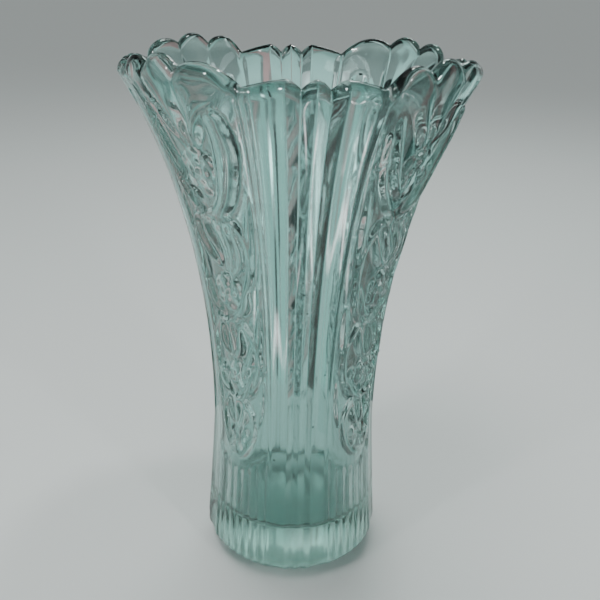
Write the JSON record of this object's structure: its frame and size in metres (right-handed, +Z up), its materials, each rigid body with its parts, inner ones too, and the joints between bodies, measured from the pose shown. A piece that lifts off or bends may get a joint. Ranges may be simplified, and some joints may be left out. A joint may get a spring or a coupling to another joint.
{
  "type": "pressed glass vase",
  "caption": "Tall waisted glass vase with a flared scalloped rim, plain fluted panels between panels of raised flowers, ribbed skirts and a thick foot.",
  "frame": {"origin": "centre of the ring that the vase stands on, at table height", "axes": "+Z up the vase's axis; -Y towards the front fluted panel; +X to the right of it"},
  "size_m": [0.1568, 0.1568, 0.2559],
  "materials": {
    "glass": "clear pressed glass with a faint grey-green tint, fire-polished, smooth inside",
    "relief_glass": "the same glass, raised and sharply modelled in the mould, bright edges"
  },
  "bodies": {
    "root": {"base_block": "glass", "fluted_panel_front": "glass", "fluted_panel_right": "glass", "fluted_panel_back": "glass", "fluted_panel_left": "glass", "ribbed_skirt_front_right": "glass", "ribbed_skirt_back_right": "glass", "ribbed_skirt_back_left": "glass", "ribbed_skirt_front_left": "glass", "flower_panel_front_right": "glass", "flower_panel_back_right": "glass", "flower_panel_back_left": "glass", "flower_panel_front_left": "glass", "flower_relief_front_right": "relief_glass", "flower_relief_back_right": "relief_glass", "flower_relief_back_left": "relief_glass", "flower_relief_front_left": "relief_glass"}
  },
  "joints": []
}
